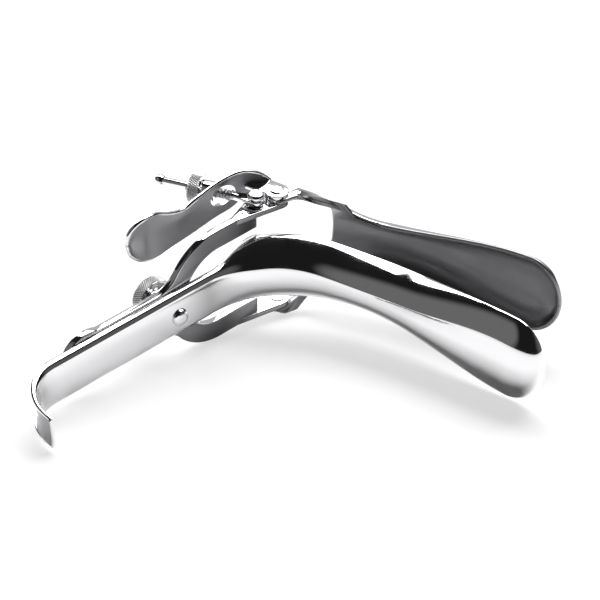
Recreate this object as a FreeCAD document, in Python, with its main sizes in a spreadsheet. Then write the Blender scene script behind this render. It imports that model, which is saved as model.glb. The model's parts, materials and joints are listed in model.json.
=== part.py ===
import FreeCAD, Part
import math
import os

import Sketcher
from FreeCAD import Placement, Rotation, Vector

# Bivalve speculum lying on its side, in millimetres, +Z up.
# The pieces are drawn in the instrument's own frame: X forward from the handle's front
# face, Y up the handle, Z across the instrument towards the thumb lever. One rest
# placement then lays all of them on the table.

doc = FreeCAD.newDocument("speculum")
sheet = doc.addObject("Spreadsheet::Sheet", "Sizes")

SIZES = [
    ("wall", 1.5, "sheet of both blades"),
    ("handle_half_width", 9.2, "half the handle's width"),
    ("handle_depth", 4.1, "depth of the handle's channel"),
    ("handle_foot", 88.0, "start of the hook, below the level of reference"),
    ("hook_radius", 14.0, "bend at the foot of the handle"),
    ("hook_angle", 86.0, "turn of that bend, degrees"),
    ("lip_length", 4.5, "straight lip after the bend"),
    ("lip_half_width", 6.6, "half the lip's width"),
    ("elbow_drop", 21.0, "start of the elbow, below the level of reference"),
    ("elbow_radius", 37.0, "bend between handle and blade"),
    ("elbow_angle", 66.0, "turn of the elbow, degrees"),
    ("sway_radius", 110.0, "gentle bend after the elbow"),
    ("sway_angle", 16.8, "turn of that bend, degrees"),
    ("bill_length", 55.0, "straight run to the lower blade's tip"),
    ("elbow_half_width", 13.4, "half the channel's width at the elbow"),
    ("elbow_depth", 12.0, "channel depth at the elbow"),
    ("waist_half_width", 10.4, "half the channel's width at the waist"),
    ("waist_depth", 13.0, "channel depth at the waist"),
    ("bill_half_width", 17.1, "half the widest part of the lower blade"),
    ("bill_depth", 9.0, "channel depth at the widest part"),
    ("tip_length", 14.0, "rounded end of the lower blade"),
    ("pivot_back", 4.7, "hinge axis behind the handle's front face"),
    ("pivot_rise", 15.3, "hinge axis above the level of reference"),
    ("upper_angle", 23.3, "rise of the upper blade's chord, degrees"),
    ("upper_length", 103.0, "chord of the upper blade"),
    ("upper_bow", 4.7, "bow of the upper blade over its chord"),
    ("upper_back", 8.2, "start of the rim line behind the front face"),
    ("upper_rise", 26.3, "start of the rim line above the level of reference"),
    ("collar_drop", 15.4, "how far the collar's rims reach below the rim line"),
    ("collar_length", 33.0, "from the ears to the upper blade's waist"),
    ("arch_length", 13.0, "open part of the upper blade's crown"),
    ("leg_width", 6.0, "width of the collar's legs"),
    ("upper_waist_half_width", 11.3, "half the upper blade's waist"),
    ("upper_waist_depth", 10.2, "upper blade's depth at the waist"),
    ("upper_bill_half_width", 16.2, "half the upper blade's widest part"),
    ("upper_bill_depth", 8.4, "upper blade's depth at its widest part"),
    ("slide_gap", 0.1, "clearance between handle, yoke and nut"),
    ("side_gap", 0.1, "clearance beside each hinge ear"),
    ("running_gap", 0.05, "radial clearance of pins and threads"),
    ("yoke_thickness", 2.8, "plate of the yoke"),
    ("strap_half_width", 9.6, "half the yoke's strap"),
    ("pad_radius", 10.8, "round pad at the yoke's lower end"),
    ("pad_drop", 71.5, "centre of that pad, below the level of reference"),
    ("fork_drop", 12.5, "centre of the fork's bend, below the level of reference"),
    ("fork_radius", 24.0, "outer bend of the fork, and half its span"),
    ("crotch_radius", 16.0, "inner bend of the fork"),
    ("arm_rise", 5.5, "upper end of the fork's flat arms"),
    ("ear_thickness", 2.3, "hinge ears of the yoke"),
    ("ear_radius", 4.3, "round end of each hinge ear"),
    ("ear_drop", 4.0, "lower end of the yoke's ears, below the level of reference"),
    ("slot_drop", 32.4, "upper end of the yoke's slot, below the level of reference"),
    ("slot_length", 24.0, "length of the yoke's slot"),
    ("clamp_drop", 34.7, "clamp screw below the level of reference"),
    ("clamp_radius", 2.0, "shank of the clamp screw and of the guide stud"),
    ("clamp_head_radius", 3.3, "domed head of the clamp screw"),
    ("clamp_head_height", 1.7, "height of that head"),
    ("clamp_end", 1.2, "screw past the clamp nut"),
    ("stud_drop", 47.5, "guide stud below the level of reference"),
    ("stud_head_radius", 3.2, "head of the guide stud"),
    ("stud_head_height", 1.0, "height of that head"),
    ("nut_radius", 7.3, "knurled disc of the clamp nut"),
    ("nut_disc", 4.4, "thickness of each nut's disc"),
    ("nut_chamfer", 0.5, "edge of each disc"),
    ("hub_radius", 4.5, "plain hub of the clamp nut"),
    ("hub_length", 6.4, "length of that hub"),
    ("rod_nut_radius", 5.5, "knurled disc of the rod nut"),
    ("rod_hub_radius", 3.7, "plain hub of the rod nut"),
    ("rod_hub_length", 5.4, "length of that hub"),
    ("pin_radius", 1.7, "hinge pins"),
    ("pin_head_radius", 2.6, "heads of the hinge pins"),
    ("pin_head_height", 0.5, "height of those heads"),
    ("rod_pivot_back", 6.6, "rod pivot behind the front face"),
    ("rod_pivot_rise", 7.0, "rod pivot above the level of reference"),
    ("rod_pin_radius", 1.4, "shank of the rod's pivot screw"),
    ("rod_head_radius", 3.1, "head of the rod's pivot screw"),
    ("rod_head_height", 1.8, "height of that head"),
    ("rod_angle", 207.6, "direction of the rod, degrees"),
    ("rod_radius", 1.9, "threaded part of the rod"),
    ("rod_tail_radius", 1.45, "plain outer part of the rod"),
    ("rod_ball_radius", 2.2, "ball at the rod's end"),
    ("rod_length", 36.5, "pivot to the centre of the ball"),
    ("thread_length", 26.5, "pivot to the end of the thread"),
    ("eye_radius", 2.9, "eye of the rod"),
    ("eye_thickness", 3.2, "thickness of that eye"),
    ("nut_reach", 14.8, "rod pivot to the near face of the rod nut"),
    ("lever_wall", 1.6, "sheet of the thumb lever"),
    ("lever_back", 16.9, "front of the lever plate behind the front face"),
    ("lever_rise", 18.6, "upper end of the lever plate"),
    ("lever_lean", 6.2, "forward lean of that end"),
    ("lobe_rise", 10.8, "widest part of the leaning lobe"),
    ("lobe_half_width", 5.3, "half the lobe's width there"),
    ("lobe_centre", 27.9, "middle of the lobe across the instrument"),
    ("neck_drop", 18.0, "narrowest part of the lever, below the level of reference"),
    ("neck_half_width", 6.6, "half the lever's narrowest part"),
    ("neck_centre", 22.0, "middle of the narrowest part across the instrument"),
    ("spoon_drop", 34.5, "middle of the lever's spoon, below the level of reference"),
    ("spoon_half_width", 9.8, "half the lever's spoon"),
    ("spoon_centre", 25.8, "middle of the spoon across the instrument"),
    ("plate_half_width", 7.4, "half the lever's upper part"),
    ("plate_centre", 25.2, "middle of the upper part across the instrument"),
    ("dish_depth", 2.4, "how far the spoon is dished"),
    ("hole_length", 10.6, "rod hole along the lever"),
    ("hole_width", 8.0, "rod hole across the lever"),
    ("hole_rise", 0.4, "middle of that hole, above the level of reference"),
]
for row, (alias, number, note) in enumerate(SIZES, start=1):
    sheet.set("A%d" % row, note)
    sheet.set("B%d" % row, str(number))
    sheet.setAlias("B%d" % row, alias)
doc.recompute()


class Sizes:
    """The sheet's values by name."""

    def __getattr__(self, alias):
        return float(sheet.get(alias))


size = Sizes()
UP = Vector(0, 0, 1)


def polar(radius, degrees):
    """Offset in the side plane at a distance and direction."""
    angle = math.radians(degrees)
    return Vector(radius * math.cos(angle), radius * math.sin(angle), 0)


def ease(start, end, share):
    """Goes smoothly from start to end as share goes from 0 to 1."""
    share = min(max(share, 0.0), 1.0)
    return start + (end - start) * (1 - math.cos(math.pi * share)) / 2


def hinge_centre():
    return Vector(-size.pivot_back, size.pivot_rise, 0)


def rod_pivot():
    return Vector(-size.rod_pivot_back, size.rod_pivot_rise, 0)


def strap_front():
    """Front face of the yoke's plate, seated on the handle's rims."""
    return -size.handle_depth - size.slide_gap


def strap_back():
    return strap_front() - size.yoke_thickness


def blade_ear_inner():
    return size.fork_radius + size.side_gap


def lever_ear_inner():
    return blade_ear_inner() + size.wall


def node(label, shape):
    """Document object for a piece whose shape is made of curves."""
    feature = doc.addObject("Part::Feature", label)
    feature.Label = label
    feature.Shape = shape
    return feature


# Pressed channels: each blade is a curved sheet lofted along a line in the side plane.

SECTION_POINTS = 19


def channel_curve(place, inward, half_width, depth, fullness):
    """Spline across a channel: a superellipse whose floor is at place."""
    points = []
    for index in range(SECTION_POINTS):
        angle = math.pi * (index / (SECTION_POINTS - 1) - 0.5)
        side = math.copysign(1, angle)
        across = half_width * side * abs(math.sin(angle)) ** (2 / fullness)
        rise = depth * (1 - math.cos(angle) ** (2 / fullness)) if abs(angle) < 1.57 else depth
        points.append(place + inward * rise + UP * across)
    curve = Part.BSplineCurve()
    curve.interpolate(points)
    return curve.toShape(), points[0], points[-1]


def channel_wire(place, inward, half_width, depth, fullness):
    """Closed section of the sheet: outer curve, inner curve and two rims."""
    floor = place + inward * size.wall
    outer, low, high = channel_curve(place, inward, half_width, depth, fullness)
    inner, low_in, high_in = channel_curve(
        floor, inward, half_width - size.wall, depth - size.wall, fullness)
    return Part.Wire([outer, Part.makeLine(high, high_in), inner, Part.makeLine(low_in, low)])


def elbow_run():
    return size.elbow_radius * math.radians(size.elbow_angle)


def sway_run():
    return size.sway_radius * math.radians(size.sway_angle)


def hook_run():
    return size.hook_radius * math.radians(size.hook_angle)


def handle_run():
    return size.handle_foot - size.elbow_drop


def front_line(reach):
    """Point and heading of the outer face; reach is 0 where the elbow starts."""
    if reach < -handle_run():
        past = -handle_run() - reach
        turned = math.degrees(min(past, hook_run()) / size.hook_radius)
        centre = Vector(size.hook_radius, -size.handle_foot, 0)
        heading = polar(1, 90 + turned)
        return centre + polar(size.hook_radius, 180 + turned) - heading * max(
            past - hook_run(), 0), heading
    if reach <= 0:
        return Vector(0, reach - size.elbow_drop, 0), Vector(0, 1, 0)
    turned = math.degrees(min(reach, elbow_run()) / size.elbow_radius)
    centre = Vector(size.elbow_radius, -size.elbow_drop, 0)
    place = centre + polar(size.elbow_radius, 180 - turned)
    past = min(max(reach - elbow_run(), 0), sway_run())
    swayed = math.degrees(past / size.sway_radius)
    centre = place + polar(size.sway_radius, -turned)
    place = centre + polar(size.sway_radius, 180 - turned - swayed)
    heading = polar(1, 90 - turned - swayed)
    past = max(reach - elbow_run() - sway_run(), 0)
    return place + heading * past, heading


def lower_section(reach):
    """Half width, depth and fullness of the lower channel at one station."""
    shoulder = 0.52 * elbow_run()
    clear = 0.07 * elbow_run()
    waist = elbow_run() + 0.45 * sway_run()
    bill = elbow_run() + sway_run() + size.bill_length - size.tip_length
    if reach < clear:
        share = (-reach - handle_run()) / (hook_run() + size.lip_length)
        return (ease(size.handle_half_width, size.lip_half_width, share),
                ease(size.handle_depth, size.wall + 0.3, share), 2.7)
    if reach < shoulder:
        share = (reach - clear) / (shoulder - clear)
        return (ease(size.handle_half_width, size.elbow_half_width, share),
                ease(size.handle_depth, size.elbow_depth, share), ease(2.7, 2.3, share))
    if reach < waist:
        share = (reach - shoulder) / (waist - shoulder)
        return (ease(size.elbow_half_width, size.waist_half_width, share),
                ease(size.elbow_depth, size.waist_depth, share), 2.3)
    share = (reach - waist) / (bill - waist)
    return (ease(size.waist_half_width, size.bill_half_width, share),
            ease(size.waist_depth, size.bill_depth, share), 2.3)


TIP_ANGLES = (0, 22, 40, 55, 67, 76, 82)


def rounded_tip(wire_at, start, half_width, depth):
    """Sections that close a blade's tip: a quarter ellipse in plan, the floor rising."""
    wires = []
    least = size.wall + 0.8
    for degrees in TIP_ANGLES:
        along = size.tip_length * math.sin(math.radians(degrees))
        narrow = math.cos(math.radians(degrees))
        lift = (depth - least) * (1 - narrow)
        wires.append(wire_at(start + along, max(half_width * narrow, least), depth - lift,
                             lift, 2.3))
    return wires


def make_posterior_blade():
    """Handle and lower blade: one pressed sheet from the foot's lip to the bill."""

    def wire_at(reach, half_width, depth, lift, fullness):
        place, heading = front_line(reach)
        inward = Vector(-heading.y, heading.x, 0)
        return channel_wire(place + inward * lift, inward, half_width, depth, fullness)

    bill = elbow_run() + sway_run() + size.bill_length - size.tip_length
    bend = hook_run() + size.lip_length
    stations = [-handle_run() - bend * share for share in (1, 0.8, 0.6, 0.4, 0.2)]
    stations += [-handle_run() * share / 8 for share in range(8, -1, -1)]
    stations += [elbow_run() * share for share in (0.07, 0.2, 0.32, 0.45, 0.6, 0.8, 1)]
    stations += [elbow_run() + (bill - elbow_run()) * share / 7 for share in range(1, 7)]
    wires = []
    for reach in stations:
        half_width, depth, fullness = lower_section(reach)
        wires.append(wire_at(reach, half_width, depth, 0.0, fullness))
    wires += rounded_tip(wire_at, bill, size.bill_half_width, size.bill_depth)
    pressed = Part.makeLoft(wires, True, False)
    through = Part.makeCylinder(size.clamp_radius, 2 * size.handle_depth,
                                Vector(size.handle_depth, -size.clamp_drop, 0), Vector(-1, 0, 0))
    socket = Part.makeCylinder(size.clamp_radius, size.handle_depth,
                               Vector(-size.wall / 2, -size.stud_drop, 0), Vector(-1, 0, 0))
    return node("posterior_blade", pressed.cut(through).cut(socket))


def crown_frame(along):
    """Point on the upper blade's rim line, its heading and its outward normal."""
    share = along / size.upper_length
    chord = polar(1, size.upper_angle)
    rise = polar(1, size.upper_angle + 90)
    start = Vector(-size.upper_back, size.upper_rise, 0)
    place = start + chord * along + rise * (4 * size.upper_bow * share * (1 - share))
    heading = chord + rise * (4 * size.upper_bow * (1 - 2 * share) / size.upper_length)
    heading.normalize()
    return place, heading, Vector(-heading.y, heading.x, 0)


def upper_section(along):
    """Half width, height over the rim line, depth and fullness at one station."""
    bill = size.upper_length - size.tip_length
    height = size.upper_waist_depth
    if along < size.collar_length:
        rim_share = min(max((along + 1) / (0.6 * size.collar_length), 0), 1)
        drop = size.collar_drop * (1 - rim_share) ** 1.3
        flat = 0.1 * size.collar_length
        share = min(max((along - flat) / (size.collar_length - flat), 0), 1)
        spread = blade_ear_inner() + size.wall - size.upper_waist_half_width
        half_width = size.upper_waist_half_width + spread * (1 - share) ** 1.9
        fullness = 1.8 + 3.2 * (1 - min(share / 0.25, 1)) ** 2 + 0.5 * share
        return half_width, height, height + drop, fullness
    share = (along - size.collar_length) / (bill - size.collar_length)
    depth = ease(size.upper_waist_depth, size.upper_bill_depth, share)
    half_width = ease(size.upper_waist_half_width, size.upper_bill_half_width, share)
    return half_width, depth, depth, 2.3


def ear_plate(outline, inner, thickness, side):
    """Flat ear from an outline drawn at height 0."""
    face = Part.Face(outline)
    start = side * inner
    return face.extrude(Vector(0, 0, side * thickness)).translated(Vector(0, 0, start))


def round_strap(centre, other, radius, other_radius):
    """Outline round two circles in the side plane."""
    line = other - centre
    span = line.Length
    middle = math.degrees(math.atan2(line.y, line.x))
    lean = math.degrees(math.acos((radius - other_radius) / span))
    first = [centre + polar(radius, middle + turn) for turn in (lean, 180, -lean)]
    last = [other + polar(other_radius, middle + turn) for turn in (-lean, 0, lean)]
    return Part.Wire([Part.Arc(*first).toShape(), Part.makeLine(first[2], last[0]),
                      Part.Arc(*last).toShape(), Part.makeLine(last[2], first[0])])


def make_anterior_blade():
    """Upper blade: a channel open downwards, with an arched collar and two hinge ears."""

    def wire_at(along, half_width, depth, lift, fullness):
        place, heading, normal = crown_frame(along)
        height = upper_section(along)[1]
        return channel_wire(place + normal * (height - lift), normal * -1, half_width, depth,
                            fullness)

    bill = size.upper_length - size.tip_length
    stations = [size.collar_length * share / 10 for share in range(-1, 11)]
    stations += [size.collar_length + (bill - size.collar_length) * share / 5
                 for share in range(1, 5)]
    wires = []
    for along in stations:
        half_width, height, depth, fullness = upper_section(along)
        wires.append(wire_at(along, half_width, depth, 0.0, fullness))
    wires += rounded_tip(wire_at, bill, size.upper_bill_half_width, size.upper_bill_depth)
    blade = Part.makeLoft(wires, True, False)

    def side_point(along, height):
        """Point in the side plane, along the rim line and above it."""
        place, heading, normal = crown_frame(along)
        return place + normal * height

    centre = hinge_centre()
    reach = 2 * size.collar_drop
    back_edge = Part.Arc(
        side_point(-size.ear_radius, size.leg_width - size.collar_drop),
        side_point(0.5 * size.arch_length, size.leg_width - 0.6 * size.collar_drop),
        side_point(size.arch_length, size.upper_waist_depth + 0.5 * size.wall)).toShape()
    first = back_edge.valueAt(back_edge.FirstParameter)
    last = back_edge.valueAt(back_edge.LastParameter)
    far = [last + Vector(0, reach, 0), last + Vector(-3 * reach, reach, 0),
           first + Vector(-reach, 0, 0)]
    outline = Part.Wire([back_edge, Part.makeLine(last, far[0]), Part.makeLine(far[0], far[1]),
                         Part.makeLine(far[1], far[2]), Part.makeLine(far[2], first)])
    width = 4 * size.fork_radius
    blade = blade.cut(Part.Face(outline).extrude(UP * width).translated(UP * (-width / 2)))
    relief = Part.makeCylinder(size.ear_radius + 0.8, 2 * blade_ear_inner(),
                               centre - UP * blade_ear_inner())
    blade = blade.cut(relief)
    for side in (1, -1):
        outline = Part.Wire(Part.makeCircle(size.ear_radius, centre))
        blade = blade.fuse(ear_plate(outline, blade_ear_inner(), size.wall, side))
    hole = Part.makeCylinder(size.pin_radius + size.running_gap, width, centre - UP * (width / 2))
    return node("anterior_blade", blade.cut(hole))


# The yoke: a flat forked plate on the handle's rims, with two ears standing on its arms.

def make_yoke():
    front = strap_front()
    thick = size.yoke_thickness

    def disc(radius, height):
        return Part.makeCylinder(radius, thick, Vector(front, height, 0), Vector(-1, 0, 0))

    def slab(half_width, low, high):
        return Part.makeBox(thick, high - low, 2 * half_width, Vector(front - thick, low, -half_width))

    strap = slab(size.strap_half_width, -size.pad_drop, -size.fork_drop)
    fork = disc(size.fork_radius, -size.fork_drop)
    arms = slab(size.fork_radius, -size.fork_drop, size.arm_rise)
    plate = strap.fuse([disc(size.pad_radius, -size.pad_drop), fork, arms])
    gap = disc(size.crotch_radius, -size.fork_drop).fuse(
        slab(size.crotch_radius, -size.fork_drop, 2 * size.pivot_rise))
    half_slot = size.clamp_radius + size.slide_gap
    slot_low = -size.slot_drop - size.slot_length
    slot = slab(half_slot, slot_low + half_slot, -size.slot_drop - half_slot)
    slot = slot.fuse([disc(half_slot, slot_low + half_slot), disc(half_slot, -size.slot_drop - half_slot)])
    plate = plate.cut([gap, slot])
    centre = hinge_centre()
    foot = Vector(front - thick / 2, -size.ear_drop, 0)
    inner = size.fork_radius - size.ear_thickness
    for side in (1, -1):
        head = round_strap(rod_pivot(), centre, size.ear_radius, size.ear_radius)
        leg = round_strap(rod_pivot(), foot, size.ear_radius, thick / 2)
        for outline in (head, leg):
            plate = plate.fuse(ear_plate(outline, inner, size.ear_thickness, side))
    reach = 4 * size.fork_radius
    plate = plate.cut([
        Part.makeCylinder(size.pin_radius, reach, centre - UP * (reach / 2)),
        Part.makeCylinder(size.rod_pin_radius, reach, rod_pivot())])
    return node("yoke", plate.removeSplitter())


def make_thumb_lever():
    """Dished spoon behind the instrument, folded into an ear on the upper blade's hinge."""
    wall = size.lever_wall
    end = -size.spoon_drop - size.spoon_half_width

    def half_outline(side):
        points = []
        for height, centre, half_width in (
                (size.lever_rise, size.lobe_centre - 1.5, 0.6),
                (0.85 * size.lever_rise, size.lobe_centre - 0.4, 0.5 * size.lobe_half_width),
                (size.lobe_rise, size.lobe_centre, size.lobe_half_width),
                (0.2 * size.lever_rise, size.plate_centre, size.plate_half_width),
                (-0.55 * size.neck_drop, (size.plate_centre + size.neck_centre) / 2,
                 size.plate_half_width),
                (-size.neck_drop, size.neck_centre, size.neck_half_width),
                (-size.spoon_drop + 0.55 * size.spoon_half_width, size.spoon_centre,
                 0.86 * size.spoon_half_width),
                (-size.spoon_drop, size.spoon_centre, size.spoon_half_width),
                (-size.spoon_drop - 0.7 * size.spoon_half_width, size.spoon_centre,
                 0.7 * size.spoon_half_width)):
            points.append(Vector(0, height, centre + side * half_width))
        return points

    left = half_outline(-1)
    right = half_outline(1)
    tip = Vector(0, end, size.spoon_centre + 1)
    curve = Part.BSplineCurve()
    curve.interpolate(left + [tip] + right[::-1])
    outline = Part.Wire([curve.toShape(), Part.makeLine(right[0], left[0])])
    blank = Part.Face(outline).extrude(Vector(-3 * size.lever_lean, 0, 0))
    blank.translate(Vector(-size.lever_back + 1.5 * size.lever_lean, 0, 0))

    bend = []
    for height, back in ((size.lever_rise + 1, size.lever_lean),
                         (0.5 * size.lever_rise, 0.45 * size.lever_lean),
                         (-0.1 * size.lever_rise, 0), (-size.neck_drop, 0),
                         (-size.spoon_drop, size.dish_depth), (end - 1, 0.4 * size.dish_depth)):
        bend.append(Vector(-size.lever_back + back, height, 0))
    line = Part.BSplineCurve()
    line.interpolate(bend)
    front = line.toShape()
    behind = front.translated(Vector(-wall, 0, 0))
    ends = [edge.valueAt(edge.FirstParameter) for edge in (front, behind)]
    feet = [edge.valueAt(edge.LastParameter) for edge in (front, behind)]
    profile = Part.Wire([front, Part.makeLine(feet[0], feet[1]), behind,
                         Part.makeLine(ends[1], ends[0])])
    slab = Part.Face(profile).extrude(UP * (4 * size.fork_radius))
    lever = slab.common(blank)

    centre = hinge_centre()
    plate_x = -size.lever_back - 0.7 * wall
    knee_low = Vector(plate_x + 0.38 * size.lever_lean, 0.45 * size.lever_rise, 0)
    knee_high = Vector(plate_x + 0.92 * size.lever_lean, 0.95 * size.lever_rise, 0)
    top = centre + polar(size.ear_radius, 95)
    bottom = centre + polar(size.ear_radius, -115)
    side = centre + polar(size.ear_radius, 5)
    outline = Part.Wire([Part.Arc(top, side, bottom).toShape(), Part.makeLine(bottom, knee_low),
                         Part.makeLine(knee_low, knee_high), Part.makeLine(knee_high, top)])
    ear = ear_plate(outline, lever_ear_inner(), wall, 1)
    lever = lever.fuse(ear)
    hole = Part.makeCylinder(0.5, 4 * size.lever_back, Vector(0, size.hole_rise, rod_height()),
                             Vector(-1, 0, 0))
    stretch = FreeCAD.Matrix()
    stretch.A22 = size.hole_length
    stretch.A33 = size.hole_width
    middle = Vector(0, size.hole_rise, rod_height())
    hole.translate(middle * -1)
    hole = hole.transformGeometry(stretch).translated(middle)
    lever = lever.cut(hole)
    reach = 4 * size.fork_radius
    lever = lever.cut(Part.makeCylinder(size.pin_radius + size.running_gap, reach, centre))
    return node("thumb_lever", lever)


def rod_height():
    """Middle of the rod across the instrument, just outside the yoke's ear."""
    return size.fork_radius + size.side_gap + size.eye_thickness / 2


# Turned pieces: a profile in a body's own XZ plane, revolved about its own Z axis.

def origin_plane(body, role):
    return [item for item in body.Origin.OriginFeatures if item.Role == role][0]


def profile_sketch(body, points):
    """Closed polygon whose corners are bound to the sheet."""
    sketch = body.newObject("Sketcher::SketchObject", body.Name + "_profile")
    sketch.AttachmentSupport = [(origin_plane(body, "XZ_Plane"), "")]
    sketch.MapMode = "FlatFace"
    corners = []
    for across, height in points:
        corners.append(Vector(value_of(across), value_of(height), 0))
    count = len(corners)
    for index in range(count):
        sketch.addGeometry(Part.LineSegment(corners[index], corners[(index + 1) % count]))
    for index in range(count):
        sketch.addConstraint(Sketcher.Constraint("Coincident", index, 2, (index + 1) % count, 1))
    for index, (across, height) in enumerate(points):
        for kind, value, text, axis in (("DistanceX", corners[index].x, across, -2),
                                        ("DistanceY", corners[index].y, height, -1)):
            if text == "0":
                sketch.addConstraint(Sketcher.Constraint("PointOnObject", index, 1, axis))
                continue
            number = sketch.addConstraint(Sketcher.Constraint(kind, -1, 1, index, 1, value))
            sketch.setExpression("Constraints[%d]" % number, bound(text))
    return sketch


def bound(text):
    """Points every size name of an expression at the sheet."""
    words = text.replace("(", " ( ").replace(")", " ) ").split()
    return " ".join("Sizes." + word if word[0].isalpha() else word for word in words)


def value_of(text):
    return float(sheet.evalExpression(bound(text)))


def turned(label, points):
    """Body revolved from (radius, height) corners."""
    body = doc.addObject("PartDesign::Body", label)
    body.Label = label
    sketch = profile_sketch(body, points)
    turn = body.newObject("PartDesign::Revolution", label + "_turn")
    turn.Profile = sketch
    turn.ReferenceAxis = (sketch, ["V_Axis"])
    turn.Angle = 360
    body.Tip = turn
    return body


def pin_points(stack):
    """Pin with a low head at each end of its stack of plates."""
    top = stack + " + pin_head_height"
    return [("0", "0"), ("pin_head_radius", "0"), ("pin_head_radius", "pin_head_height"),
            ("pin_radius", "pin_head_height"), ("pin_radius", top),
            ("pin_head_radius", top), ("pin_head_radius", top + " + 0.4 * pin_head_height"),
            ("0.75 * pin_head_radius", top + " + pin_head_height"),
            ("0", top + " + pin_head_height")]


def nut_points(bore, hub, hub_length, disc):
    """Knurled nut: a plain hub from height 0, then the disc, round a bore."""
    rim = hub_length + " + nut_disc"
    return [(bore, "0"), (hub, "0"), (hub, hub_length), (disc + " - nut_chamfer", hub_length),
            (disc, hub_length + " + nut_chamfer"), (disc, rim + " - nut_chamfer"),
            (disc + " - nut_chamfer", rim), (bore, rim)]


PLATES = "ear_thickness + side_gap + wall + side_gap"
upper_hinge_pin = turned("upper_hinge_pin", pin_points(PLATES + " + lever_wall"))
lower_hinge_pin = turned("lower_hinge_pin", pin_points(PLATES))

rod_pivot_screw = turned("rod_pivot_screw", [
    ("0", "0"), ("rod_pin_radius", "0"),
    ("rod_pin_radius", "ear_thickness + 2 * side_gap + eye_thickness"),
    ("rod_head_radius", "ear_thickness + 2 * side_gap + eye_thickness"),
    ("rod_head_radius", "ear_thickness + 2 * side_gap + eye_thickness + 0.6 * rod_head_height"),
    ("0.8 * rod_head_radius", "ear_thickness + 2 * side_gap + eye_thickness + rod_head_height"),
    ("0", "ear_thickness + 2 * side_gap + eye_thickness + rod_head_height")])

CLAMPED = "handle_depth + slide_gap + yoke_thickness + slide_gap + hub_length + nut_disc"
clamp_screw = turned("clamp_screw", [
    ("0", "-1 * clamp_head_height"), ("0.55 * clamp_head_radius", "-1 * clamp_head_height"),
    ("0.88 * clamp_head_radius", "-0.65 * clamp_head_height"),
    ("clamp_head_radius", "-0.2 * clamp_head_height"), ("clamp_head_radius", "0"),
    ("clamp_radius", "0"), ("clamp_radius", CLAMPED + " + clamp_end"),
    ("0", CLAMPED + " + clamp_end")])
clamp_nut = turned("clamp_nut", nut_points("clamp_radius + running_gap", "hub_radius", "hub_length",
                                            "nut_radius"))

STUD = "handle_depth + slide_gap + yoke_thickness + slide_gap - 0.5 * wall"
guide_stud = turned("guide_stud", [
    ("0", "0"), ("clamp_radius", "0"), ("clamp_radius", STUD), ("stud_head_radius", STUD),
    ("stud_head_radius", STUD + " + stud_head_height"), ("0", STUD + " + stud_head_height")])

rod_nut = turned("rod_nut", nut_points("rod_radius + running_gap", "rod_hub_radius", "rod_hub_length",
                                        "rod_nut_radius"))

threaded_rod = turned("threaded_rod", [
    ("0", "0.5 * eye_radius"), ("0.75 * rod_radius", "0.5 * eye_radius"),
    ("0.75 * rod_radius", "1.6 * eye_radius"), ("rod_radius", "1.8 * eye_radius"),
    ("rod_radius", "thread_length"),
    ("rod_tail_radius", "thread_length + 0.5"), ("rod_tail_radius", "rod_length"),
    ("0", "rod_length")])
doc.recompute()
eye = threaded_rod.newObject("PartDesign::AdditiveCylinder", "rod_eye")
eye.setExpression("Radius", "Sizes.eye_radius")
eye.setExpression("Height", "Sizes.eye_thickness")
eye.Placement = Placement(Vector(0, size.eye_thickness / 2, 0), Rotation(Vector(1, 0, 0), 90))
doc.recompute()
eye_hole = threaded_rod.newObject("PartDesign::SubtractiveCylinder", "rod_eye_hole")
eye_hole.setExpression("Radius", "Sizes.rod_pin_radius + Sizes.running_gap")
eye_hole.setExpression("Height", "Sizes.eye_thickness")
eye_hole.Placement = eye.Placement
threaded_rod.Tip = eye_hole

sphere = doc.addObject("Part::Sphere", "ball")
sphere.setExpression("Radius", "Sizes.rod_ball_radius")
ball_bore = doc.addObject("Part::Cylinder", "ball_bore")
ball_bore.setExpression("Radius", "Sizes.rod_tail_radius")
ball_bore.setExpression("Height", "2 * Sizes.rod_ball_radius")
ball_bore.setExpression("Placement.Base.z", "-2 * Sizes.rod_ball_radius")
rod_ball = doc.addObject("Part::Cut", "rod_ball")
rod_ball.Base = sphere
rod_ball.Tool = ball_bore
rod_ball.Label = "rod_ball"
doc.recompute()

posterior_blade = make_posterior_blade()
anterior_blade = make_anterior_blade()
yoke = make_yoke()
thumb_lever = make_thumb_lever()
doc.recompute()

# Where each piece sits in the instrument's frame.

AWAY = Rotation(UP, Vector(-1, 0, 0))
rod_direction = polar(1, size.rod_angle)
# The rod's eye has its hole along the body's Y axis, which must lie across the instrument.
along_rod = Rotation(Vector(0, 0, 0), UP, rod_direction, "ZYX")
yoke_inner = size.fork_radius - size.ear_thickness
pin_start = UP * (yoke_inner - size.pin_head_height)
flipped = Rotation(Vector(1, 0, 0), 180)
rod_middle = rod_pivot() + UP * rod_height()
clamp_back = strap_back() - size.slide_gap
spots = {
    posterior_blade: Placement(),
    anterior_blade: Placement(),
    yoke: Placement(),
    thumb_lever: Placement(),
    upper_hinge_pin: Placement(hinge_centre() + pin_start, Rotation()),
    lower_hinge_pin: Placement(hinge_centre() - pin_start, flipped),
    rod_pivot_screw: Placement(rod_pivot() + UP * yoke_inner, Rotation()),
    clamp_screw: Placement(Vector(0, -size.clamp_drop, 0), AWAY),
    clamp_nut: Placement(Vector(clamp_back, -size.clamp_drop, 0), AWAY),
    guide_stud: Placement(Vector(-size.wall / 2, -size.stud_drop, 0), AWAY),
    threaded_rod: Placement(rod_middle, along_rod),
    rod_ball: Placement(rod_middle + rod_direction * size.rod_length, along_rod),
    rod_nut: Placement(rod_middle + rod_direction * size.nut_reach, along_rod),
}


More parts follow.
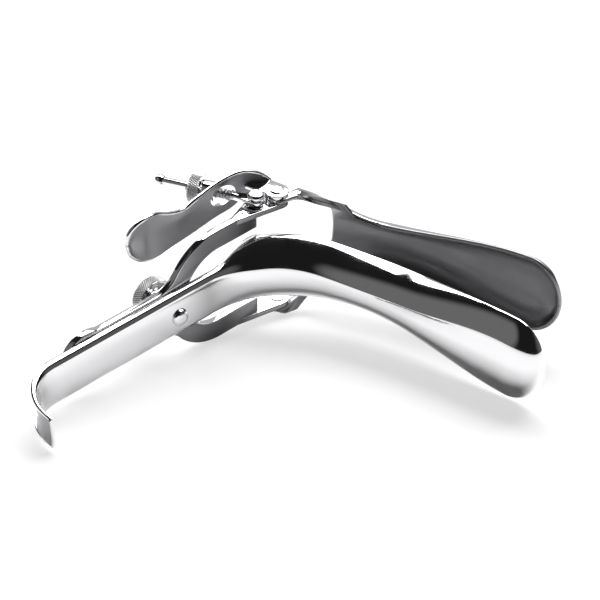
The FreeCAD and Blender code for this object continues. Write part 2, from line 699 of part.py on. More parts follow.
def settle():
    """Rest placement: the instrument lies on its lower hinge, its lip and its bill."""
    sheet_points = posterior_blade.Shape.tessellate(0.1)[0]
    pin = lower_hinge_pin.Shape.copy()
    pin.Placement = spots[lower_hinge_pin]
    regions = [
        pin.tessellate(0.05)[0],
        [point for point in sheet_points if point.y < -size.handle_foot],
        [point for point in sheet_points if point.x > size.bill_length],
    ]
    normal = Vector(0, 0, 1)
    for turn in range(8):
        feet = [min(region, key=normal.dot) for region in regions]
        normal = (feet[1] - feet[0]).cross(feet[2] - feet[0])
        normal.normalize()
        if normal.z < 0:
            normal = normal * -1
    upright = Rotation(normal, UP)
    handle = upright.multVec(Vector(0, 1, 0))
    upright = Rotation(Vector(handle.x, handle.y, 0), Vector(0, 1, 0)).multiply(upright)
    return Placement(Vector(), upright)


rest = settle()
box = FreeCAD.BoundBox()
for feature, spot in spots.items():
    feature.Placement = rest.multiply(spot)
    box.add(feature.Shape.optimalBoundingBox(False))
centred = Placement(Vector(-box.Center.x, -box.Center.y, -box.ZMin), Rotation())
for feature in spots:
    feature.Placement = centred.multiply(feature.Placement)
doc.recompute()

for item in doc.Objects:
    if "Invalid" in item.State or "Error" in item.State:
        raise RuntimeError("%s did not build" % item.Name)
os.makedirs("parts", exist_ok=True)
for feature in spots:
    shape = feature.Shape
    if shape.isNull() or not shape.isValid():
        raise RuntimeError("%s is not a valid solid" % feature.Label)
    shape.exportStep("parts/%s.step" % feature.Label)
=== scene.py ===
import json
import math

import bmesh
import bpy
import numpy as np
from mathutils import Matrix, Vector


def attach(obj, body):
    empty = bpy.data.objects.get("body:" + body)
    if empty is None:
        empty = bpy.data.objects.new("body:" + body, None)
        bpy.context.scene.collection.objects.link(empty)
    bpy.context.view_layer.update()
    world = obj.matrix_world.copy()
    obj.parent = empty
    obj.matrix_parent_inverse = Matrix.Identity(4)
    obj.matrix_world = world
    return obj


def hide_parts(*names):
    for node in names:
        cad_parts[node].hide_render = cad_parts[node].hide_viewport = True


# A polished bivalve speculum on a white table. Shapes are worked out in the instrument's own
# frame, in millimetres (X forward, Y up the handle, Z towards the thumb lever), and then
# turned into the model's frame. The tilt turns about Z and the yoke slides along Y, so these
# two joints carry the instrument's axes.

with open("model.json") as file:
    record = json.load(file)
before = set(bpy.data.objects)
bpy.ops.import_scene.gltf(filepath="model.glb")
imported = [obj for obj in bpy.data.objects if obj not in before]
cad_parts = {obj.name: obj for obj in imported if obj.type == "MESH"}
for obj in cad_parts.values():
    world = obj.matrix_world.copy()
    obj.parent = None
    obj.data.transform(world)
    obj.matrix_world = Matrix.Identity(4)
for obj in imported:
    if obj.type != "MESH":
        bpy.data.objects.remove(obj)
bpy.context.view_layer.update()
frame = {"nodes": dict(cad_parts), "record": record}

joints = {joint["name"]: joint for joint in frame["record"]["behaviour"]["joints"]}
AXIS_Z = np.array(joints["blade_tilt"]["axis"])
AXIS_Y = np.array(joints["yoke_slide"]["axis"])
AXIS_X = np.cross(AXIS_Y, AXIS_Z)
AXES = np.array([AXIS_X, AXIS_Y, AXIS_Z])
# Middle between the two hinge pins
HINGE = np.array([-4.7, 15.3, 0.0])
ORIGIN = np.array(joints["blade_tilt"]["pos_m"]) - 0.001 * HINGE @ AXES

# Sheet of both blades, and the radius of its rounded edges
WALL = 1.5
RIM = WALL / 2
UP = np.array([0.0, 0.0, 1.0])


def to_row(points):
    """Instrument millimetres to the model's metres."""
    return ORIGIN + 0.001 * np.asarray(points, float) @ AXES


def polar(radius, degrees):
    """Vector in the instrument's side plane."""
    angle = math.radians(degrees)
    return np.array([radius * math.cos(angle), radius * math.sin(angle), 0.0])


def ease(start, end, share):
    """Value that leaves start and reaches end without a kink, share 0 to 1."""
    share = min(max(share, 0.0), 1.0)
    return start + (end - start) * (1 - math.cos(math.pi * share)) / 2


def eased(start, end, share):
    """The same for each value of a section."""
    return tuple(ease(first, last, share) for first, last in zip(start, end))


def unit(vector):
    return vector / np.linalg.norm(vector)


def sides_of(axis):
    """Two directions square to an axis and to each other."""
    side = unit(np.cross(axis, UP if abs(axis[2]) < 0.9 else np.array([1.0, 0, 0])))
    return side, np.cross(axis, side)


# Materials

def nodes_of(material):
    """The material's empty node tree."""
    material.use_nodes = True
    tree = material.node_tree
    tree.nodes.clear()
    return tree


def steel(name, tone, roughness, haze):
    """Polished steel with faint, cloudy wipe marks in its roughness."""
    material = bpy.data.materials.new(name)
    tree = nodes_of(material)
    new, link = tree.nodes.new, tree.links.new
    output = new("ShaderNodeOutputMaterial")
    shader = new("ShaderNodeBsdfPrincipled")
    place = new("ShaderNodeTexCoord")
    cloud = new("ShaderNodeTexNoise")
    span = new("ShaderNodeMapRange")
    cloud.inputs["Scale"].default_value = 90.0
    cloud.inputs["Detail"].default_value = 4.0
    span.inputs["From Min"].default_value = 0.35
    span.inputs["From Max"].default_value = 0.75
    span.inputs["To Min"].default_value = roughness
    span.inputs["To Max"].default_value = roughness + haze
    shader.inputs["Base Color"].default_value = tone
    shader.inputs["Metallic"].default_value = 1.0
    link(place.outputs["Object"], cloud.inputs["Vector"])
    link(cloud.outputs["Fac"], span.inputs["Value"])
    link(span.outputs["Result"], shader.inputs["Roughness"])
    link(shader.outputs["BSDF"], output.inputs["Surface"])
    return material


POLISHED = steel("polished_steel", (0.74, 0.74, 0.75, 1.0), 0.04, 0.06)
# Darker, rougher copy of the polished steel: the roughness is a satin finish, and the dark tone
# is painted shade for the shade that its faces reflect
SHADED_SATIN = steel("satin_steel_painted_shade", (0.27, 0.27, 0.28, 1.0), 0.30, 0.10)
# Darker, rough copy of the polished steel for the knurl, the thread and a screw head's top: the
# roughness is real, and the dark tone is painted shade that keeps their bright reflections down
SHADED_ROUGH_STEEL = steel("rough_steel_painted_shade", (0.42, 0.42, 0.42, 1.0), 0.34, 0.08)


def mesh_object(name, points, faces, smooth_angle):
    """New polished object at the origin, from instrument points."""
    mesh = bpy.data.meshes.new(name)
    mesh.from_pydata([tuple(p) for p in to_row(points)], [], [tuple(f) for f in faces])
    mesh.materials.append(POLISHED)
    return finish_mesh(name, mesh, smooth_angle)


def finish_mesh(name, mesh, smooth_angle):
    """Object from a mesh: doubles merged, normals outward, edges under the angle smooth."""
    work = bmesh.new()
    work.from_mesh(mesh)
    bmesh.ops.remove_doubles(work, verts=work.verts, dist=2e-6)
    bmesh.ops.recalc_face_normals(work, faces=work.faces)
    for face in work.faces:
        face.smooth = True
    for edge in work.edges:
        if len(edge.link_faces) == 2:
            edge.smooth = edge.calc_face_angle(0.0) < math.radians(smooth_angle)
    work.to_mesh(mesh)
    work.free()
    item = bpy.data.objects.new(name, mesh)
    bpy.context.scene.collection.objects.link(item)
    return item


def joined(name, items):
    """One object from several, which are then removed."""
    work = bmesh.new()
    slots = []
    for item in items:
        count = len(work.faces)
        work.from_mesh(item.data)
        work.faces.ensure_lookup_table()
        for face in work.faces[count:]:
            material = item.data.materials[face.material_index]
            if material not in slots:
                slots.append(material)
            face.material_index = slots.index(material)
    mesh = bpy.data.meshes.new(name)
    for material in slots:
        mesh.materials.append(material)
    work.to_mesh(mesh)
    work.free()
    for item in items:
        bpy.data.objects.remove(item)
    result = bpy.data.objects.new(name, mesh)
    bpy.context.scene.collection.objects.link(result)
    return result


RIM_STEPS = 6


def sheet(name, grid, wall, shaded_satin_inside=False, shaded_satin_outside=False, shaded_satin_rim=False):
    """Pressed sheet from a grid of points on its outer face, with fully rounded edges."""
    rows, columns = grid.shape[:2]
    along = np.gradient(grid, axis=0)
    across = np.gradient(grid, axis=1)
    normal = np.cross(along, across)
    normal /= np.linalg.norm(normal, axis=2, keepdims=True) + 1e-12
    # The rows that close a rounded tip are too short for a normal of their own
    width = np.linalg.norm(grid[:, 0] - grid[:, -1], axis=1)
    last = max(np.nonzero(width > 4 * wall)[0])
    normal[last + 1:] = unit(normal[last].mean(axis=0))
    middle = grid - normal * wall / 2
    loop = [(0, j) for j in range(columns)]
    loop += [(i, columns - 1) for i in range(1, rows)]
    loop += [(rows - 1, j) for j in range(columns - 2, -1, -1)]
    loop += [(i, 0) for i in range(rows - 2, 0, -1)]
    rim = np.array([middle[i, j] for i, j in loop])
    rim_normal = np.array([normal[i, j] for i, j in loop])
    outward = np.cross(np.roll(rim, 1, axis=0) - np.roll(rim, -1, axis=0), rim_normal)
    outward /= np.linalg.norm(outward, axis=1, keepdims=True) + 1e-12
    side = columns + rows // 2
    if outward[side] @ across[loop[side]] < 0:
        outward = -outward
    points = list((middle + normal * wall / 2).reshape(-1, 3))
    points += list((middle - normal * wall / 2).reshape(-1, 3))
    half = rows * columns
    faces = []
    inside = []
    for i in range(rows - 1):
        for j in range(columns - 1):
            a = i * columns + j
            faces.append((a, a + 1, a + columns + 1, a + columns))
            inside.append((half + a, half + a + columns, half + a + columns + 1, half + a + 1))
    rings = [[i * columns + j for i, j in loop]]
    for step in range(1, RIM_STEPS):
        turn = math.pi * step / RIM_STEPS
        ring = []
        for (i, j), push in zip(loop, outward):
            ring.append(len(points))
            points.append(middle[i, j] + wall / 2 * (
                math.cos(turn) * normal[i, j] + math.sin(turn) * push))
        rings.append(ring)
    rings.append([half + i * columns + j for i, j in loop])
    count = len(loop)
    edge = []
    for first, second in zip(rings, rings[1:]):
        for k in range(count):
            edge.append((first[k], second[k], second[(k + 1) % count], first[(k + 1) % count]))
    item = mesh_object(name, np.array(points), faces + inside + edge, 60.0)
    # The faces picked by the three switches below take the darker satin steel, which is painted
    # shade for the shade that they reflect
    item.data.materials.append(SHADED_SATIN)
    for number, face in enumerate(item.data.polygons):
        if number < len(faces):
            face.material_index = int(shaded_satin_outside)
        elif number < len(faces) + len(inside):
            face.material_index = int(shaded_satin_inside)
        else:
            face.material_index = int(shaded_satin_rim)
    return item


def lathe(name, profile, place, axis, count=96, bevel=0.2):
    """Turned piece: (radius, height) corners, slightly rounded, about an axis.

    A profile that starts off the axis is a closed ring.
    """
    corners = [np.array(corner, float) for corner in profile]
    ring = corners[0][0] > 0
    rounded = []
    for index, corner in enumerate(corners):
        if not ring and index in (0, len(corners) - 1):
            rounded.append(corner)
            continue
        before = corners[index - 1]
        after = corners[(index + 1) % len(corners)]
        cut = min(bevel, 0.45 * np.linalg.norm(before - corner),
                  0.45 * np.linalg.norm(after - corner))
        first = corner + unit(before - corner) * cut
        last = corner + unit(after - corner) * cut
        for share in (0.0, 0.33, 0.67, 1.0):
            rounded.append((1 - share) ** 2 * first + 2 * share * (1 - share) * corner
                           + share ** 2 * last)
    axis = unit(np.array(axis, float))
    side, other = sides_of(axis)
    points = []
    for radius, height in rounded:
        for k in range(count):
            turn = 2 * math.pi * k / count
            points.append(np.array(place, float) + axis * height
                          + radius * (math.cos(turn) * side + math.sin(turn) * other))
    faces = []
    rows = len(rounded)
    for i in range(rows if ring else rows - 1):
        this, following = i * count, (i + 1) % rows * count
        for k in range(count):
            beside = (k + 1) % count
            faces.append((this + k, this + beside, following + beside, following + k))
    return mesh_object(name, np.array(points), faces, 35.0)


def plate(name, outline, holes, to_side, thickness, bevel=0.35):
    """Flat plate with rounded edges. to_side turns (u, v, w) into instrument millimetres."""
    curve = bpy.data.curves.new(name, "CURVE")
    curve.dimensions = "2D"
    curve.fill_mode = "BOTH"
    curve.offset = -bevel
    curve.extrude = thickness / 2 - bevel
    curve.bevel_depth = bevel
    curve.bevel_resolution = 3
    for ring in [outline] + list(holes):
        spline = curve.splines.new("POLY")
        spline.points.add(len(ring) - 1)
        for point, (u, v) in zip(spline.points, ring):
            point.co = (u, v, 0.0, 1.0)
        spline.use_cyclic_u = True
    item = bpy.data.objects.new(name, curve)
    bpy.context.scene.collection.objects.link(item)
    bpy.context.view_layer.update()
    graph = bpy.context.evaluated_depsgraph_get()
    mesh = bpy.data.meshes.new_from_object(item.evaluated_get(graph))
    bpy.data.objects.remove(item)
    flat = np.array([v.co[:] for v in mesh.vertices])
    turned = to_row(to_side(flat))
    for vertex, place in zip(mesh.vertices, turned):
        vertex.co = place
    mesh.materials.clear()
    mesh.materials.append(POLISHED)
    return finish_mesh(name, mesh, 30.0)


def arc(centre, radius, start, end, count=24):
    """Points on a circle in a plate's plane, from start to end degrees."""
    turns = np.radians(np.linspace(start, end, count))
    return [(centre[0] + radius * math.cos(t), centre[1] + radius * math.sin(t)) for t in turns]


def hull(points):
    """Convex outline round points in a plane."""
    def turns_left(a, b, c):
        return (b[0] - a[0]) * (c[1] - a[1]) - (b[1] - a[1]) * (c[0] - a[0]) > 0

    ordered = sorted(set((round(u, 6), round(v, 6)) for u, v in points))
    chains = []
    for sequence in (ordered, ordered[::-1]):
        chain = []
        for point in sequence:
            while len(chain) > 1 and not turns_left(chain[-2], chain[-1], point):
                chain.pop()
            chain.append(point)
        chains.append(chain[:-1])
    return chains[0] + chains[1]


# Lower blade and handle, one pressed sheet

# Radii and runs along the outer face: hooked foot, handle, elbow, sway and straight bill
HANDLE_FOOT = 88.0
ELBOW_DROP = 21.0
HOOK_RADIUS = 14.0
ELBOW_RADIUS = 37.0
SWAY_RADIUS = 110.0
HOOK_RUN = HOOK_RADIUS * math.radians(86.0)
ELBOW_RUN = ELBOW_RADIUS * math.radians(66.0)
SWAY_RUN = SWAY_RADIUS * math.radians(16.8)
HANDLE_RUN = HANDLE_FOOT - ELBOW_DROP
STRAIGHT_RUN = 55.0
LIP = 4.5
TIP = 14.0
# Where the sections change: reach along the outer face from the elbow's start
BILL = ELBOW_RUN + SWAY_RUN + STRAIGHT_RUN - TIP
CLEAR = 0.07 * ELBOW_RUN
SHOULDER = 0.52 * ELBOW_RUN
WAIST = ELBOW_RUN + 0.45 * SWAY_RUN
# Half width, depth and fullness of the channel at its stations
LIP_SECTION = (6.6, WALL + 0.3, 2.7)
HANDLE_SECTION = (9.2, 4.1, 2.7)
SHOULDER_SECTION = (13.4, 12.0, 2.3)
WAIST_SECTION = (10.4, 13.0, 2.3)
BILL_SECTION = (17.1, 9.0, 2.3)
# Share of a quarter turn that the blades' walls cover, so that they lean out at their rims
LEAN = 0.74
ANGLES = np.linspace(-90, 90, 65)


def front_line(reach):
    """Point and heading of the outer face; reach is 0 where the elbow starts."""
    if reach < -HANDLE_RUN:
        past = -HANDLE_RUN - reach
        turned = math.degrees(min(past, HOOK_RUN) / HOOK_RADIUS)
        heading = polar(1, 90 + turned)
        place = np.array([HOOK_RADIUS, -HANDLE_FOOT, 0]) + polar(HOOK_RADIUS, 180 + turned)
        return place - heading * max(past - HOOK_RUN, 0), heading
    if reach <= 0:
        return np.array([0, reach - ELBOW_DROP, 0]), np.array([0, 1.0, 0])
    turned = math.degrees(min(reach, ELBOW_RUN) / ELBOW_RADIUS)
    place = np.array([ELBOW_RADIUS, -ELBOW_DROP, 0]) + polar(ELBOW_RADIUS, 180 - turned)
    swayed = math.degrees(min(max(reach - ELBOW_RUN, 0), SWAY_RUN) / SWAY_RADIUS)
    centre = place + polar(SWAY_RADIUS, -turned)
    place = centre + polar(SWAY_RADIUS, 180 - turned - swayed)
    heading = polar(1, 90 - turned - swayed)
    return place + heading * max(reach - ELBOW_RUN - SWAY_RUN, 0), heading


def lower_section(reach):
    """Half width, depth and fullness of the channel, from the hooked foot to the bill."""
    if reach < CLEAR:
        share = (-reach - HANDLE_RUN) / (HOOK_RUN + LIP)
        return eased(HANDLE_SECTION, LIP_SECTION, share)
    if reach < SHOULDER:
        share = (reach - CLEAR) / (SHOULDER - CLEAR)
        return eased(HANDLE_SECTION, SHOULDER_SECTION, share)
    if reach < WAIST:
        share = (reach - SHOULDER) / (WAIST - SHOULDER)
        return eased(SHOULDER_SECTION, WAIST_SECTION, share)
    share = (reach - WAIST) / (BILL - WAIST)
    return eased(WAIST_SECTION, BILL_SECTION, share)


def across_section(half_width, depth, fullness, angle, spread):
    """Sideways place and rise over the floor at an angle of -90 to 90 degrees.

    With a spread below 1 the walls lean out at the rims instead of ending upright.
    """
    turn, end = math.radians(angle * spread), math.radians(90 * spread)
    power = 2 / fullness
    side = half_width * math.copysign(abs(math.sin(turn) / math.sin(end)) ** power, turn)
    full = 1 - max(math.cos(end), 0.0) ** power
    return side, (depth - RIM) * (1 - max(math.cos(turn), 0.0) ** power) / full


def rounding(share):
    """How far past the bill a row of the rounded tip lies, and what its width shrinks to."""
    turn = math.radians(89.4 * share)
    return (TIP - RIM) * math.sin(turn), math.cos(turn)


def lower_grid():
    """Rows of points on the outer face: along the channel, then over its rounded tip."""
    rows = []
    foot = RIM - HANDLE_RUN - HOOK_RUN - LIP
    stations = [(reach, None) for reach in np.linspace(foot, BILL, 190)]
    stations += [(BILL, share) for share in np.linspace(0.03, 1, 34)]
    for reach, share in stations:
        lift = 0.0
        if share is None:
            half_width, depth, fullness = lower_section(reach)
        else:
            past, narrow = rounding(share)
            reach = BILL + past
            bill_half, bill_depth, fullness = BILL_SECTION
            lift = (bill_depth - RIM) * (1 - narrow)
            half_width, depth = bill_half * narrow, bill_depth - lift
        place, heading = front_line(reach)
        inward = np.array([-heading[1], heading[0], 0])
        spread = ease(1.0, LEAN, reach / (0.5 * ELBOW_RUN))
        row = []
        for angle in ANGLES:
            side, rise = across_section(half_width, depth, fullness, angle, spread)
            row.append(place + inward * (lift + rise) + UP * side)
        rows.append(row)
    return np.array(rows)


def outward_grid(grid, away):
    """The grid with its normals on the side that away points to at the middle."""
    i, j = grid.shape[0] // 2, grid.shape[1] // 2
    normal = np.cross(grid[i + 1, j] - grid[i - 1, j], grid[i, j + 1] - grid[i, j - 1])
    return grid if normal @ np.array(away) > 0 else grid[:, ::-1]


# Its inner face, round the hooked foot too, takes the darker satin steel as painted shade for the
# shade that it reflects
posterior = sheet("posterior_sheet", outward_grid(lower_grid(), (0.3, -1, 0)), WALL,
                  shaded_satin_inside=True)

# Upper blade with its arched collar

UPPER_LENGTH = 103.0
UPPER_BILL = UPPER_LENGTH - TIP
UPPER_START = np.array([-8.2, 26.3, 0])
UPPER_SLOPE = 23.3
# Four times the height of the bow over its chord
UPPER_BOW = 18.8
COLLAR = 33.0
CROWN = 10.2
# The collar's extra depth and half width at the hinge
COLLAR_DROP = 15.4
COLLAR_FLARE = 14.3
NECK_HALF = 11.3
BILL_HALF = 16.2
BILL_DEPTH = 8.4
BILL_FULLNESS = 2.3
UPPER_ANGLES = np.linspace(-90, 90, 97)


def crown_frame(along):
    """Point on the blade's curved datum line and the direction away from the gap."""
    share = along / UPPER_LENGTH
    chord, rise = polar(1, UPPER_SLOPE), polar(1, UPPER_SLOPE + 90)
    place = UPPER_START + chord * along + rise * (UPPER_BOW * share * (1 - share))
    heading = unit(chord + rise * (UPPER_BOW * (1 - 2 * share) / UPPER_LENGTH))
    return place, np.array([-heading[1], heading[0], 0])


def upper_section(along):
    """Half width, height of the crown over the datum, depth and fullness."""
    if along < COLLAR:
        drop = COLLAR_DROP * (1 - min(max((along + 1) / (0.6 * COLLAR), 0), 1)) ** 1.3
        flat = 0.1 * COLLAR
        share = min(max((along - flat) / (COLLAR - flat), 0), 1)
        half_width = NECK_HALF + COLLAR_FLARE * (1 - share) ** 1.9
        fullness = 1.8 + 3.2 * (1 - min(share / 0.25, 1)) ** 2 + 0.5 * share
        return half_width, CROWN, CROWN + drop, fullness
    share = (along - COLLAR) / (UPPER_BILL - COLLAR)
    depth = ease(CROWN, BILL_DEPTH, share)
    return ease(NECK_HALF, BILL_HALF, share), depth, depth, BILL_FULLNESS


def upper_point(along, angle):
    """Point on the upper blade's outer face."""
    lift = 0.0
    if along > UPPER_BILL:
        turn = math.asin(min((along - UPPER_BILL) / (TIP - RIM), 0.9999))
        narrow = math.cos(turn)
        lift = (BILL_DEPTH - RIM) * (1 - narrow)
        half_width, height, depth = BILL_HALF * narrow, BILL_DEPTH, BILL_DEPTH - lift
        fullness = BILL_FULLNESS
    else:
        half_width, height, depth, fullness = upper_section(along)
    place, normal = crown_frame(along)
    spread = ease(1.0, LEAN, (along - 4) / (COLLAR - 4))
    side, rise = across_section(half_width, depth, fullness, angle, spread)
    return place + normal * (height - lift - rise) + UP * side


def side_point(along, height):
    """Point in the side plane, at a height over the datum line."""
    place, normal = crown_frame(along)
    return place + normal * height


def circle_through(a, b, c):
    """Centre and radius of a circle in the side plane."""
    matrix = 2 * np.array([[b[0] - a[0], b[1] - a[1]], [c[0] - a[0], c[1] - a[1]]])
    right = np.array([b[:2] @ b[:2] - a[:2] @ a[:2], c[:2] @ c[:2] - a[:2] @ a[:2]])
    centre = np.linalg.solve(matrix, right)
    return centre, np.linalg.norm(a[:2] - centre)


ARCH_CENTRE, ARCH_RADIUS = circle_through(
    side_point(-4.3, 6.0 - COLLAR_DROP), side_point(6.5, 6.0 - 0.6 * COLLAR_DROP),
    side_point(13.0, CROWN + 0.75))


def past_arch(along, angle):
    return np.linalg.norm(upper_point(along, angle)[:2] - ARCH_CENTRE) > ARCH_RADIUS


def arch_start(angle):
    """Where the sheet starts at one place across the collar: the arch's edge."""
    low, high = -3.3, 16.0
    if past_arch(low, angle):
        return low
    for _ in range(30):
        half = (low + high) / 2
        if past_arch(half, angle):
            high = half
        else:
            low = half
    return high


def upper_grid():
    """Rows from the arch's edge to the tip, closer together over the tip."""
    starts = [arch_start(angle) for angle in UPPER_ANGLES]
    end = UPPER_LENGTH - RIM - 0.002
    blade = 0.86
    tip_turns = np.radians(np.linspace(2, 89.2, 44))
    shares = np.concatenate([np.linspace(0, blade, 120), blade + (1 - blade) * np.sin(tip_turns)])
    grid = []
    for share in shares:
        row = []
        for start, angle in zip(starts, UPPER_ANGLES):
            row.append(upper_point(start + share * (end - start), angle))
        grid.append(row)
    return np.array(grid)


# The inner face and the rounded rims take the darker satin steel as painted shade: a dark inside
# and a dark line along the rims
upper = sheet("anterior_sheet", outward_grid(upper_grid(), (-0.4, 1, 0)), WALL,
              shaded_satin_inside=True, shaded_satin_rim=True)


def in_side_plane(middle):
    """Plate in the instrument's side plane, its middle at a given height across."""
    def turn(flat):
        return np.stack([flat[:, 0], flat[:, 1], middle + flat[:, 2]], axis=1)
    return turn


# The ears stack outwards on each hinge pin: the yoke's, the blade's and the lever's
EAR = 4.3
YOKE_EAR_WALL = 2.3
YOKE_EAR_FACE = 24.0
EAR_GAP = 0.1
BLADE_EAR_MIDDLE = YOKE_EAR_FACE + EAR_GAP + WALL / 2
ears = []
for side in (1, -1):
    ears.append(plate("ear", arc(HINGE, EAR, 0, 360, 64)[:-1], [],
                      in_side_plane(side * BLADE_EAR_MIDDLE), WALL, 0.3))
anterior = joined("anterior_blade_sheet", [upper] + ears)

# Yoke

YOKE_FRONT = -4.2
YOKE_WALL = 2.8
PAD_HEIGHT, PAD_RADIUS = -71.5, 10.8
STRAP_HALF = 9.6
# The fork's ring: height of its middle, and its outer and inner radius
FORK_HEIGHT, FORK_OUT, FORK_IN = -12.5, 24.0, 16.0
SLOT_ENDS = (-34.5, -54.3)
SLOT_HALF = 2.1


def across_plate(flat):
    """Plate across the instrument: u is up the handle, v is across."""
    return np.stack([YOKE_FRONT - YOKE_WALL / 2 + flat[:, 2], flat[:, 0], flat[:, 1]], axis=1)


def half_yoke():
    """Outline of one half: pad, strap, the flare to the fork, and one arm with its end."""
    outline = arc((PAD_HEIGHT, 0), PAD_RADIUS, 180, 63, 24)
    outline += [(-62.0, STRAP_HALF), (-50.0, STRAP_HALF), (-40.5, STRAP_HALF)]
    corner = np.array([[-40.5, STRAP_HALF], [-35.2, 9.8], [-31.8, 14.2]])
    for share in np.linspace(0.1, 1, 9):
        outline.append(tuple((1 - share) ** 2 * corner[0] + 2 * share * (1 - share) * corner[1]
                             + share ** 2 * corner[2]))
    outline += arc((FORK_HEIGHT, 0), FORK_OUT, 142, 90, 24)
    outline += [(0.0, FORK_OUT), (4.9, FORK_OUT), (5.5, FORK_OUT - 0.6)]
    outline += [(5.5, FORK_IN + 0.6), (4.9, FORK_IN), (0.0, FORK_IN)]
    outline += arc((FORK_HEIGHT, 0), FORK_IN, 90, 178, 30)
    return outline


side_one = half_yoke()
side_two = [(u, -v) for u, v in side_one[::-1]]
slot = arc((SLOT_ENDS[0], 0), SLOT_HALF, -90, 90, 14)
slot += arc((SLOT_ENDS[1], 0), SLOT_HALF, 90, 270, 14)
pieces = [plate("strap", side_one + side_two[:-1], [slot], across_plate, YOKE_WALL, 0.55)]
ROD_PIVOT = np.array([-6.6, 7.0, 0.0])
ear_outline = hull(arc(HINGE, EAR, 0, 360, 49) + arc(ROD_PIVOT, EAR, 0, 360, 49)
                   + arc((-5.6, -4.0), 1.4, 0, 360, 17))
for side in (1, -1):
    pieces.append(plate("yoke_ear", ear_outline, [],
                        in_side_plane(side * (YOKE_EAR_FACE - YOKE_EAR_WALL / 2)), YOKE_EAR_WALL))
yoke = joined("yoke_plate", pieces)
# Its front faces take the darker satin steel, which is painted shade for the shaded floor that
# they reflect
yoke.data.materials.append(SHADED_SATIN)
for face in yoke.data.polygons:
    if np.array(face.normal) @ AXIS_X > 0.95:
        face.material_index = 1

# Thumb lever: a dished plate that leans forward into a lobe, and its ear on the hinge

LEVER_WALL = 1.6
LEVER_EAR_MIDDLE = 26.45
# The hole's middle, and its height and width
HOLE = np.array([-16.9, 0.4, 25.7])
HOLE_HIGH = 10.6
HOLE_WIDE = 8.0
# The edges below are shortened and moved along the handle by these
LEVER_LENGTHS = 0.974
LEVER_DROP = 0.35
# Height up the handle, lower and upper edge across, and front face behind the handle
LEVER_EDGES = np.array([
    (18.4, 25.9, 26.9, -10.9), (17.6, 25.3, 28.3, -11.3), (15.8, 24.4, 30.3, -12.0),
    (10.8, 22.6, 33.1, -14.2), (4.0, 18.2, 33.0, -16.3), (-2.0, 17.2, 32.0, -16.9),
    (-10.0, 16.2, 30.4, -16.9), (-18.0, 15.4, 28.7, -16.8), (-25.0, 15.6, 31.2, -15.9),
    (-31.0, 15.9, 34.6, -14.9), (-36.0, 16.5, 35.5, -14.5), (-40.0, 18.2, 34.6, -14.8),
    (-42.6, 20.8, 32.6, -15.2), (-44.0, 23.9, 29.6, -15.5), (-44.3, 26.2, 27.6, -15.6)])


def smooth_through(table, shares):
    """Smooth curve through a table's rows, by its length from row to row."""
    steps = np.linalg.norm(np.diff(table, axis=0), axis=1)
    knots = np.concatenate([[0], np.cumsum(steps)])
    knots /= knots[-1]
    slopes = np.gradient(table, knots, axis=0)
    result = []
    for share in shares:
        k = min(max(np.searchsorted(knots, share) - 1, 0), len(knots) - 2)
        span = knots[k + 1] - knots[k]
        t = (share - knots[k]) / span
        result.append((2 * t ** 3 - 3 * t ** 2 + 1) * table[k] + (t ** 3 - 2 * t ** 2 + t) * span
                      * slopes[k] + (3 * t ** 2 - 2 * t ** 3) * table[k + 1]
                      + (t ** 3 - t ** 2) * span * slopes[k + 1])
    return np.array(result)


lever_rows = smooth_through(LEVER_EDGES, np.linspace(0, 1, 120))
lever_grid = []
for height, low, high, front in lever_rows:
    row = []
    depth = 0.2 + 0.8 * min(max((-6 - height) / 14, 0), 1)
    edge = min(LEVER_WALL / 2, 0.3 * (high - low))
    height = LEVER_LENGTHS * height - LEVER_DROP
    for share in np.linspace(0, 1, 40):
        hollow = depth * math.sin(math.pi * share) * min(1, (high - low) / 12)
        row.append((front - hollow, height, low + edge + share * (high - low - 2 * edge)))
    lever_grid.append(row)
# The lever's front face takes the darker satin steel: its roughness is a satin finish, and its
# dark tone is painted shade for the shaded floor it faces
lever_sheet = sheet("lever_sheet", outward_grid(np.array(lever_grid), (1, 0, 0)), LEVER_WALL,
                    shaded_satin_outside=True)

# The oval hole is cut by a round bore that is narrowed across
hole_profile = [(0, -8), (HOLE_HIGH / 2, -8), (HOLE_HIGH / 2, 8), (0, 8)]
bore = lathe("bore", hole_profile, HOLE, (1, 0, 0), count=64, bevel=0.01)
for vertex in bore.data.vertices:
    local = (np.array(vertex.co) - ORIGIN) @ AXES.T * 1000
    local[2] = HOLE[2] + (local[2] - HOLE[2]) * HOLE_WIDE / HOLE_HIGH
    vertex.co = to_row([local])[0]
cut = lever_sheet.modifiers.new("hole", "BOOLEAN")
cut.object = bore
cut.operation = "DIFFERENCE"
cut.solver = "EXACT"
bpy.context.view_layer.update()
graph = bpy.context.evaluated_depsgraph_get()
cut_mesh = bpy.data.meshes.new_from_object(lever_sheet.evaluated_get(graph))
bpy.data.objects.remove(lever_sheet)
bpy.data.objects.remove(bore)
lever_sheet = finish_mesh("lever_cut", cut_mesh, 50.0)
lever_ear = plate("lever_ear", arc(HINGE, EAR, -115, 95, 40) + [(-12.3, 17.7), (-15.7, 8.4)],
                  [], in_side_plane(LEVER_EAR_MIDDLE), LEVER_WALL, 0.4)
lever = joined("thumb_lever_sheet", [lever_sheet, lever_ear])

# Turned pieces

PIN_RADIUS = 1.7
PIN_HEAD = 2.6
HEAD_THICK = 0.5


def pin(name, side, stack):
    """Hinge pin through a stack of ears, with a low head at each end."""
    start = YOKE_EAR_FACE - YOKE_EAR_WALL - HEAD_THICK
    end = stack + HEAD_THICK
    profile = [(0, 0), (PIN_HEAD, 0), (PIN_HEAD, HEAD_THICK), (PIN_RADIUS, HEAD_THICK),
               (PIN_RADIUS, end), (PIN_HEAD, end), (PIN_HEAD, end + 0.2), (1.9, end + 0.5),
               (0, end + 0.5)]
    return lathe(name, profile, HINGE + UP * side * start, UP * side)


